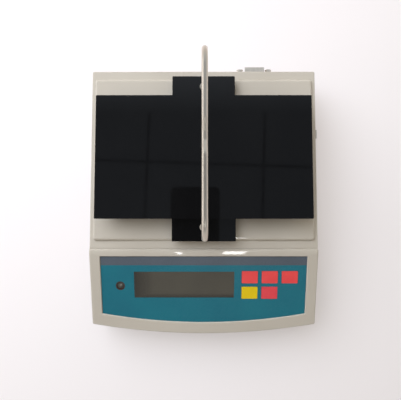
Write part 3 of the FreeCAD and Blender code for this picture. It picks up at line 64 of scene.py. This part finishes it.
def applySettings(data, settings):
    for setting, value in settings.items():
        setattr(data, setting, value)


cameraData = bpy.data.cameras.new("camera")
applySettings(cameraData, camera["settings"])
cameraObject = bpy.data.objects.new("camera", cameraData)
cameraObject.location = camera["place"]
cameraObject.rotation_euler = radians(camera["turn"])
scene.collection.objects.link(cameraObject)
scene.camera = cameraObject
print("camera placed")


# helpers for materials


def paint(code):
    # a colour picker's code, as the linear values that sockets take
    shares = [int(code[i:i + 2], 16) / 255 for i in (1, 3, 5)]
    return [s / 12.92 if s <= 0.04045 else ((s + 0.055) / 1.055) ** 2.4 for s in shares] + [1]


def addNode(tree, kind, inputs=None, **options):
    node = tree.nodes.new(f"ShaderNode{kind}")
    applySettings(node, options)
    for socket, value in (inputs or {}).items():
        if isinstance(value, bpy.types.NodeSocket):
            tree.links.new(value, node.inputs[socket])
        else:
            node.inputs[socket].default_value = value
    return node


def addMath(tree, operation, first, second):
    return addNode(tree, "Math", {0: first, 1: second}, operation=operation).outputs[0]


def addPlace(tree):
    # where a point lies on its own object, along x, y and z
    return addNode(tree, "SeparateXYZ", {0: addNode(tree, "TexCoord").outputs["Object"]}).outputs


def addNoise(tree, size, stretch=(1, 1, 1), detail=3):
    # size is the width of one blotch in metres
    place = addNode(tree, "TexCoord").outputs["Object"]
    scaled = addNode(tree, "Mapping", {"Vector": place, "Scale": [s / size for s in stretch]})
    noise = addNode(
        tree, "TexNoise", {"Vector": scaled.outputs[0], "Scale": 1, "Detail": detail, "Roughness": 0.5}
    )
    return noise.outputs["Fac"]


def addRange(tree, value, low, high, fromLow=0.3, fromHigh=0.7):
    node = addNode(
        tree, "MapRange",
        {"Value": value, "From Min": fromLow, "From Max": fromHigh, "To Min": low, "To Max": high},
    )
    return node.outputs[0]


def addMix(tree, factor, first, second):
    return addNode(tree, "Mix", {0: factor, 6: first, 7: second}, data_type="RGBA").outputs[2]


def makeMaterial(name, sockets):
    material = bpy.data.materials.new(name)
    material.use_nodes = True
    shader = material.node_tree.nodes["Principled BSDF"]
    for socket, value in sockets.items():
        shader.inputs[socket].default_value = value
    return material, material.node_tree, shader


def makeFinish(name, look):
    # colour and shade mingle in patches, gloss is a range of roughness, relief the depth of the grain
    material, tree, shader = makeMaterial(name, look.get("sockets", {}))
    stretch = look.get("stretch", (1, 1, 1))
    patches = addRange(tree, addNoise(tree, look["patch"], stretch), 0, 1)
    colour = addMix(tree, patches, paint(look["colour"]), paint(look["shade"]))
    grain = addNoise(tree, look["grain"], stretch, look.get("detail", 3))
    bump = addNode(tree, "Bump", {"Strength": 1, "Distance": look["relief"], "Height": grain})
    tree.links.new(colour, shader.inputs["Base Color"])
    tree.links.new(addRange(tree, grain, *look["gloss"]), shader.inputs["Roughness"])
    tree.links.new(bump.outputs[0], shader.inputs["Normal"])
    return material


def getColour(material):
    # the colour that a finish has now, and the socket that takes it
    socket = material.node_tree.nodes["Principled BSDF"].inputs["Base Color"]
    return socket.links[0].from_socket, socket


def dress(names, material):
    for name in names:
        for materialSlot in nodes[name].material_slots:
            materialSlot.material = material


# housing and its blank label

housingLook = {
    "colour": "#C1B9AB", "shade": "#BCB4A6", "patch": 0.06,
    "grain": 0.0007, "gloss": (0.03, 0.05), "relief": 0.000001,
}
plateLook = {
    "colour": "#B9BBBC", "shade": "#B2B4B5", "patch": 0.02, "stretch": (1, 12, 1),
    "grain": 0.0008, "gloss": (0.3, 0.42), "relief": 0.000006, "sockets": {"Metallic": 0.8},
}

dress(["upper_cover", "base_tray"], makeFinish("housingPlastic", housingLook))
dress(["rating_plate"], makeFinish("blankLabel", plateLook))
print("housing dressed")


# front panel: printed film with a grey band along its rear edge, and the five key areas

panelLook = {
    "colour": "#1E6D7A", "shade": "#1D6675", "patch": 0.03,
    "grain": 0.0004, "gloss": (0.22, 0.3), "relief": 0.000004, "sockets": {"Specular IOR Level": 0.35},
}
headerBand = {"colour": "#565D65", "shade": "#515860", "patch": 0.02, "lowEdge": -0.0547}

panelFinish = makeFinish("printedFilm", panelLook)
panelTree = panelFinish.node_tree
filmColour, panelColour = getColour(panelFinish)
inBand = addMath(panelTree, "GREATER_THAN", addPlace(panelTree)["Y"], headerBand["lowEdge"])
bandPatches = addRange(panelTree, addNoise(panelTree, headerBand["patch"]), 0, 1)
bandColour = addMix(panelTree, bandPatches, paint(headerBand["colour"]), paint(headerBand["shade"]))
panelTree.links.new(addMix(panelTree, inBand, filmColour, bandColour), panelColour)
dress(["front_overlay"], panelFinish)

keySurface = {
    "patch": 0.008, "grain": 0.0005, "gloss": (0.32, 0.42), "relief": 0.00001,
    "sockets": {"Specular IOR Level": 0.25},
}
keyLooks = {
    "redKey": (
        {"colour": "#E74E4C", "shade": "#E04646"}, ["red_key_left", "red_key_middle", "red_key_right"],
    ),
    "redPaleKey": ({"colour": "#DF4A50", "shade": "#D8434A"}, ["red_key_lower"]),
    "yellowKey": ({"colour": "#E2C30A", "shade": "#DBBC08"}, ["yellow_key"]),
}

for keyFinish, (keyColours, keyNodes) in keyLooks.items():
    dress(keyNodes, makeFinish(keyFinish, {**keySurface, **keyColours}))
print("front panel dressed")


# display: smoked window over a grey glass panel

windowLook = {
    "colour": "#58544A", "shade": "#534F46", "patch": 0.02, "grain": 0.0004,
    "gloss": (0.06, 0.1), "relief": 0.000001, "sockets": {"IOR": 1.49, "Alpha": 0.88},
    "edge": "#3D3A34", "shadeLeft": 0.016, "shadeFront": 0.004,  # painted shade: within these widths of the left and front edges the smoke darkens to this colour, standing in for the recess's shadow
}
glassLook = {
    "colour": "#98917D", "shade": "#928B78", "patch": 0.03, "grain": 0.0003,
    "gloss": (0.12, 0.2), "relief": 0.000002,
}

windowFinish = makeFinish("smokedWindow", windowLook)
windowTree = windowFinish.node_tree
windowPlace = addPlace(windowTree)
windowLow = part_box("display_window")[0]
smoke, windowColour = getColour(windowFinish)
# painted shade: 0 at the window's left and front edges, rising to 1 inwards, where the recess's shadow is
# painted in
fromLeft = addRange(
    windowTree, windowPlace["X"], 0, 1, windowLow.x, windowLow.x + windowLook["shadeLeft"]
)
fromFront = addRange(
    windowTree, windowPlace["Y"], 0, 1, windowLow.y, windowLow.y + windowLook["shadeFront"]
)
outsidePaintedShade = addMath(windowTree, "MINIMUM", fromLeft, fromFront)
windowTree.links.new(addMix(windowTree, outsidePaintedShade, paint(windowLook["edge"]), smoke), windowColour)
dress(["display_window"], windowFinish)
dress(["lcd_panel"], makeFinish("displayGlass", glassLook))
print("display dressed")


# round level: glass, printed ring and bubble in the CAD cup

cupLook = {
    "colour": "#4A332C", "shade": "#3F2B25", "patch": 0.003, "grain": 0.0004,
    "gloss": (0.25, 0.35), "relief": 0.000008,
}
vialLook = {
    "colour": "#4B4A43", "shade": "#45443E", "patch": 0.003, "grain": 0.0004,
    "gloss": (0.3, 0.4), "relief": 0.000001, "sockets": {"Specular IOR Level": 0.2},
    "height": 0.0077, "dome": 0.0005, "rings": 12, "bevel": 0.0002,
    "sides": 64, "tilt": 14.5,  # degrees, as the console
}
markLook = {
    "colour": "#2A2320", "shade": "#241E1B", "patch": 0.001, "grain": 0.0002,
    "gloss": (0.3, 0.4), "relief": 0.000001,
    "radius": 0.0014, "width": 0.00022, "thickness": 0.00004, "sunk": 0.0001,
}
bubbleLook = {
    "colour": "#6A6960", "shade": "#636259", "patch": 0.001, "grain": 0.0003,
    "gloss": (0.25, 0.35), "relief": 0.000001,
    "radius": 0.00105, "rise": 0.0002, "rings": 8, "sunk": 0.00005, "depth": 0.0002,
    "drift": (0.0004, 0.0003),  # how far it stands off the middle
}


def turnProfile(name, profile, sides):
    # a closed form, turned from (radius, height) points about the z axis
    mesh = bpy.data.meshes.new(name)
    form = bmesh.new()
    line = [form.verts.new((radius, 0, height)) for radius, height in profile]
    for first, second in zip(line, line[1:]):
        form.edges.new((first, second))
    bmesh.ops.spin(
        form, geom=form.verts[:] + form.edges[:], cent=(0, 0, 0), axis=(0, 0, 1),
        angle=math.tau, steps=sides, use_merge=True,
    )
    bmesh.ops.remove_doubles(form, verts=form.verts, dist=1e-7)
    bmesh.ops.recalc_face_normals(form, faces=form.faces)
    for face in form.faces:
        face.smooth = True
    form.to_mesh(mesh)
    form.free()
    piece = bpy.data.objects.new(name, mesh)
    scene.collection.objects.link(piece)
    return piece


def domeHeight(radius, outer, rise):
    return rise * math.cos(radius / outer * math.pi / 2)


def domeProfile(outer, rise, rings, base):
    # a dome's points from its rim to its middle
    radii = [outer * i / rings for i in range(rings, -1, -1)]
    return [(radius, base + domeHeight(radius, outer, rise)) for radius in radii]


vialLow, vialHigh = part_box("level_vial")
vialRadius = (vialHigh.x - vialLow.x) / 2
vialPlace = Matrix.Translation((vialLow + vialHigh) / 2)
vialTurn = vialPlace @ Matrix.Rotation(math.radians(vialLook["tilt"]), 4, "X")
vialTop = vialLook["height"] / 2 - vialLook["dome"]
vialBevel = vialLook["bevel"]

levelGlass = turnProfile(
    "levelGlass",
    [(0, -vialTop), (vialRadius - vialBevel, -vialTop), (vialRadius, vialBevel - vialTop)]
    + domeProfile(vialRadius, vialLook["dome"], vialLook["rings"], vialTop),
    vialLook["sides"],
)
levelGlass.matrix_world = vialTurn
levelGlass.data.materials.append(makeFinish("levelGlass", vialLook))
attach(levelGlass, "housing")
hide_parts("level_vial")

# the ring's section: share of its width, share of its thickness above the glass
markSection = []
for across, above in ((0, 0), (0.25, 1), (0.75, 1), (1, 0)):
    markRadius = markLook["radius"] + markLook["width"] * across
    markBase = vialTop + domeHeight(markRadius, vialRadius, vialLook["dome"])
    markSection.append((markRadius, markBase + markLook["thickness"] * above))
markFeet = [(radius, height - markLook["sunk"]) for radius, height in (markSection[0], markSection[-1])]

levelMark = turnProfile("levelMark", [markFeet[0], *markSection, markFeet[1]], vialLook["sides"])
levelMark.matrix_world = vialTurn
levelMark.data.materials.append(makeFinish("printedRing", markLook))
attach(levelMark, "housing")

glassUnderBubble = domeHeight(Vector(bubbleLook["drift"]).length, vialRadius, vialLook["dome"])
bubbleBase = vialTop + glassUnderBubble - bubbleLook["sunk"]
bubbleFoot = bubbleBase - bubbleLook["depth"]
levelBubble = turnProfile(
    "levelBubble",
    [(0, bubbleFoot), (bubbleLook["radius"], bubbleFoot)]
    + domeProfile(bubbleLook["radius"], bubbleLook["rise"], bubbleLook["rings"], bubbleBase),
    vialLook["sides"],
)
levelBubble.matrix_world = vialTurn @ Matrix.Translation((*bubbleLook["drift"], 0))
levelBubble.data.materials.append(makeFinish("airBubble", bubbleLook))
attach(levelBubble, "housing")

dress(["level_cup", "level_vial"], makeFinish("levelCup", cupLook))
print("level made")


# acrylic plates and the rod arch

acrylicLook = {
    "colour": "#060607", "shade": "#0A0A0B", "patch": 0.05, "grain": 0.012, "detail": 2,
    "gloss": (0.03, 0.06), "relief": 0.000002, "sockets": {"IOR": 1.49},
}
rodLook = {
    "colour": "#D6CDC0", "shade": "#CCC3B5", "patch": 0.006, "stretch": (1, 0.08, 1),
    "grain": 0.00035, "gloss": (0.32, 0.42), "relief": 0.000001, "sockets": {"Metallic": 1.0},
}

dress(["weighing_strip", "bridge_plate"], makeFinish("blackAcrylic", acrylicLook))
dress(["arch_rod", "arch_collars", "arch_nuts", "pan_screws"], makeFinish("brushedStainless", rodLook))
print("plates and arch dressed")


# every other CAD piece, by finish

otherLooks = {
    "blackMoulding": (
        {
            "colour": "#151516", "shade": "#1B1B1C", "patch": 0.01, "grain": 0.0005,
            "gloss": (0.38, 0.52), "relief": 0.00002,
        },
        ["lcd_frame", "key_switches", "serial_insulator", "power_jack",
         "bridge_rails", "main_board_parts", "foot_screw_front_left", "foot_screw_front_right",
         "foot_screw_rear_left", "foot_screw_rear_right"],
    ),
    "greySwitch": (
        {
            "colour": "#BDBAB3", "shade": "#B6B3AC", "patch": 0.006, "grain": 0.0004,
            "gloss": (0.3, 0.42), "relief": 0.000008,
        },
        ["switch_housing", "switch_rocker"],
    ),
    "greyRubber": (
        {
            "colour": "#2B2A29", "shade": "#343332", "patch": 0.004, "grain": 0.0004,
            "gloss": (0.7, 0.9), "relief": 0.00004,
        },
        ["bridge_pads", "foot_pad_front_left", "foot_pad_front_right", "foot_pad_rear_left",
         "foot_pad_rear_right", "contact_strips"],
    ),
    "zincSteel": (
        {
            "colour": "#B4B2AC", "shade": "#A5A39F", "patch": 0.002, "grain": 0.0002,
            "gloss": (0.25, 0.4), "relief": 0.000006, "sockets": {"Metallic": 1.0},
        },
        ["cover_screws", "carrier_screws", "display_board_screws", "main_board_screws", "load_cell_screws",
         "overload_stops"],
    ),
    "nickelShell": (
        {
            "colour": "#DAD3C8", "shade": "#CEC7BC", "patch": 0.003, "grain": 0.0003,
            "gloss": (0.34, 0.48), "relief": 0.000005, "sockets": {"Metallic": 0.75},
        },
        ["serial_shell", "serial_jackscrews", "power_jack_pin"],
    ),
    "milledAluminium": (
        {
            "colour": "#C4C6C8", "shade": "#B8BABD", "patch": 0.01, "stretch": (1, 0.1, 1), "grain": 0.0004,
            "gloss": (0.3, 0.45), "relief": 0.000006, "sockets": {"Metallic": 1.0},
        },
        ["load_cell", "load_cell_block", "pan_carrier", "pan_posts"],
    ),
    "brassAndGold": (
        {
            "colour": "#C9A24F", "shade": "#B98F3D", "patch": 0.002, "grain": 0.0002,
            "gloss": (0.22, 0.35), "relief": 0.000004, "sockets": {"Metallic": 1.0},
        },
        ["foot_inserts", "serial_pins", "switch_terminals"],
    ),
    "solderMask": (
        {
            "colour": "#1F5A34", "shade": "#17492A", "patch": 0.003, "grain": 0.0004,
            "gloss": (0.25, 0.4), "relief": 0.00001,
        },
        ["main_board", "display_board"],
    ),
    "cableJacket": (
        {
            "colour": "#6A6B6D", "shade": "#5F6062", "patch": 0.01, "grain": 0.0005,
            "gloss": (0.45, 0.6), "relief": 0.00001,
        },
        ["load_cell_cable", "display_cable"],
    ),
    "leadJacket": (
        {
            "colour": "#A3232A", "shade": "#962026", "patch": 0.01, "grain": 0.0005,
            "gloss": (0.4, 0.55), "relief": 0.00001,
        },
        ["switch_leads"],
    ),
    "siliconeSealant": (
        {
            "colour": "#E4E1DA", "shade": "#DAD7CF", "patch": 0.004, "grain": 0.0008,
            "gloss": (0.35, 0.5), "relief": 0.00006,
        },
        ["gauge_sealant"],
    ),
}

for finishName, (finishLook, finishNodes) in otherLooks.items():
    dress(finishNodes, makeFinish(finishName, finishLook))
print("remaining pieces dressed")


# helpers for the stage


def addSheet(name, size, place, turn=(0, 0, 0), corner=0):
    mesh = bpy.data.meshes.new(name)
    grid = bmesh.new()
    bmesh.ops.create_grid(grid, x_segments=1, y_segments=1, size=0.5)
    bmesh.ops.scale(grid, vec=(*size, 1), verts=grid.verts)
    if corner:
        bmesh.ops.bevel(
            grid, geom=grid.verts[:], offset=corner, segments=5, affect="VERTICES", profile=0.5
        )
    grid.to_mesh(mesh)
    grid.free()
    sheet = bpy.data.objects.new(name, mesh)
    sheet.location = place
    sheet.rotation_euler = radians(turn)
    scene.collection.objects.link(sheet)
    return sheet


def onlyReflect(sheet):
    # gloss shows the sheet, but the camera doesn't, and it neither lights nor shades anything
    for ray in ("camera", "diffuse", "shadow"):
        setattr(sheet, f"visible_{ray}", False)


def addSeen(tree):
    # 1 for the rays that show a thing, 0 for those that carry its light to others
    paths = addNode(tree, "LightPath").outputs
    seen = paths["Is Camera Ray"]
    for ray in ("Is Glossy Ray", "Is Transmission Ray"):
        seen = addMath(tree, "MAXIMUM", seen, paths[ray])
    return seen


# floor: its own glow lights nothing and changes a little along x and along y; that change is painted light,
# brighter towards the left and the rear where the lamp's light falls stronger

floorLook = {
    "size": (6, 6), "colour": "#C7C2C1", "glowColour": "#DBD7D7",
    "sockets": {"Roughness": 0.9, "Specular IOR Level": 0.1},
    "glow": {"X": {"from": -0.19, "to": 0.19, "low": 0.3, "high": 0.22},
             "Y": {"from": -0.22, "to": 0.17, "low": 0.14, "high": 0.27}},
}

floor = addSheet("floor", floorLook["size"], (0, 0, 0))
floorFinish, floorTree, floorShader = makeMaterial(
    "paleFloor",
    {"Base Color": paint(floorLook["colour"]), "Emission Color": paint(floorLook["glowColour"]),
     **floorLook["sockets"]},
)
floorPlace = addPlace(floorTree)
glows = [
    addRange(floorTree, floorPlace[axis], glow["low"], glow["high"], glow["from"], glow["to"])
    for axis, glow in floorLook["glow"].items()
]
shownGlow = addMath(floorTree, "MULTIPLY", addSeen(floorTree), addMath(floorTree, "ADD", *glows))
floorTree.links.new(shownGlow, floorShader.inputs["Emission Strength"])
floor.data.materials.append(floorFinish)
print("floor laid")


# ceiling: tiles with dark joints, and a bright wall behind them

ceilingLook = {
    "height": 1.87, "size": (7, 7), "colour": "#E4EDF8", "strength": 0.23,
    "tile": 0.6, "joint": 0.009, "jointBlur": 0.4, "jointStrength": 0.1, "offset": (0.285, 0.163, 0),
    "turn": (0, 0, -1.9), "wallStart": 0.43, "wallEnd": 0.72, "wallStrength": 0.75,
}

ceiling = addSheet("ceiling", ceilingLook["size"], (0, 0, ceilingLook["height"]), (180, 0, 0))
onlyReflect(ceiling)
ceilingFinish, ceilingTree, ceilingShader = makeMaterial(
    "ceilingTiles", {"Base Color": (0, 0, 0, 1), "Emission Color": paint(ceilingLook["colour"])}
)
tilePlace = addNode(
    ceilingTree, "Mapping",
    {"Vector": addNode(ceilingTree, "TexCoord").outputs["Object"],
     "Location": ceilingLook["offset"], "Rotation": radians(ceilingLook["turn"])},
)
tiles = addNode(
    ceilingTree, "TexBrick",
    {"Vector": tilePlace.outputs[0], "Scale": 1, "Bias": 0,
     "Color1": (1, 1, 1, 1), "Color2": (1, 1, 1, 1), "Mortar": (0, 0, 0, 1),
     "Mortar Size": ceilingLook["joint"], "Mortar Smooth": ceilingLook["jointBlur"],
     "Brick Width": ceilingLook["tile"], "Row Height": ceilingLook["tile"]},
    offset=0, squash=1,
)
tileStrength = addRange(
    ceilingTree, tiles.outputs["Color"], ceilingLook["jointStrength"], ceilingLook["strength"], 0, 1
)
worldPlace = addNode(ceilingTree, "NewGeometry").outputs["Position"]
towardsRear = addNode(ceilingTree, "SeparateXYZ", {0: worldPlace}).outputs["Y"]
wallStrength = addRange(
    ceilingTree, towardsRear, ceilingLook["strength"], ceilingLook["wallStrength"],
    ceilingLook["wallStart"], ceilingLook["wallEnd"],
)
onWall = addMath(ceilingTree, "GREATER_THAN", towardsRear, ceilingLook["wallStart"])
roomStrength = addNode(ceilingTree, "Mix", {0: onWall, 2: tileStrength, 3: wallStrength}, data_type="FLOAT")
ceilingTree.links.new(roomStrength.outputs[0], ceilingShader.inputs["Emission Strength"])
ceiling.data.materials.append(ceilingFinish)
print("ceiling hung")


# cards that gloss reflects: two lamp tubes, a window and the dark back of the camera

cards = {
    "tubeLeft": {"place": (-0.125, -0.83, 1.85), "size": (0.02, 0.65), "turn": (180, 0, 0), "strength": 26},
    "tubeRight": {"place": (0.18, -0.83, 1.85), "size": (0.12, 0.65), "turn": (180, 0, 0), "strength": 16},
    "windowLeft": {"place": (-1.3, 0.1, 0.62), "size": (0.6, 1.8), "turn": (0, 90, 0), "strength": 2.2},
    "cameraBack": {
        "place": (-0.0115, -0.067, 0.42), "size": (0.079, 0.166), "turn": (180, 0, 0), "strength": 0.06,
        "corner": 0.008,
    },
}

for cardName, cardLook in cards.items():
    card = addSheet(
        cardName, cardLook["size"], cardLook["place"], cardLook["turn"], cardLook.get("corner", 0)
    )
    onlyReflect(card)
    cardFinish = makeMaterial(
        cardName,
        {"Base Color": (0, 0, 0, 1), "Emission Color": (1, 1, 1, 1),
         "Emission Strength": cardLook["strength"]},
    )[0]
    card.data.materials.append(cardFinish)
print("cards set")


# lamps and world

lamps = {
    "keyLamp": {
        "kind": "AREA", "place": (-0.45, 0.45, 0.86), "colour": "#E9F1FF",
        "settings": {"shape": "SQUARE", "size": 1.0, "energy": 14.3},
    },
    "frontLamp": {
        "kind": "SUN", "place": (0.05, -1.9, 0.25), "colour": "#FFF2E0",
        "settings": {"angle": 0.7, "energy": 0.32},
    },
}
lampAim = Vector((0, 0, 0.05))
worldLook = {
    "colour": "#F6ECDC", "front": 0.16, "rear": 0.82,  # the light that it gives
    "shownColour": "#F2F1F1", "shown": 0.86,  # what the camera and gloss see
}

for lampName, lampLook in lamps.items():
    lampData = bpy.data.lights.new(lampName, lampLook["kind"])
    lampData.color = paint(lampLook["colour"])[:3]
    applySettings(lampData, lampLook["settings"])
    lampObject = bpy.data.objects.new(lampName, lampData)
    lampObject.location = lampLook["place"]
    toAim = lampAim - Vector(lampLook["place"])
    lampObject.rotation_euler = toAim.to_track_quat("-Z", "Y").to_euler()
    lampObject.visible_glossy = False  # the cards are what gloss shows
    scene.collection.objects.link(lampObject)

world = bpy.data.worlds.new("studio")
world.use_nodes = True
worldTree = world.node_tree
skyLight = worldTree.nodes["Background"]
skyLight.inputs["Color"].default_value = paint(worldLook["colour"])
skyPlace = addNode(worldTree, "SeparateXYZ", {0: addNode(worldTree, "TexCoord").outputs["Generated"]})
skyStrength = addRange(worldTree, skyPlace.outputs["Y"], worldLook["front"], worldLook["rear"], -1, 1)
worldTree.links.new(skyStrength, skyLight.inputs["Strength"])
skyShown = addNode(
    worldTree, "Background", {"Color": paint(worldLook["shownColour"]), "Strength": worldLook["shown"]}
)
skyMix = addNode(
    worldTree, "MixShader", {0: addSeen(worldTree), 1: skyLight.outputs[0], 2: skyShown.outputs[0]}
)
worldTree.links.new(skyMix.outputs[0], worldTree.nodes["World Output"].inputs["Surface"])
scene.world = world
print("lamps and world set")

print("scene ready")
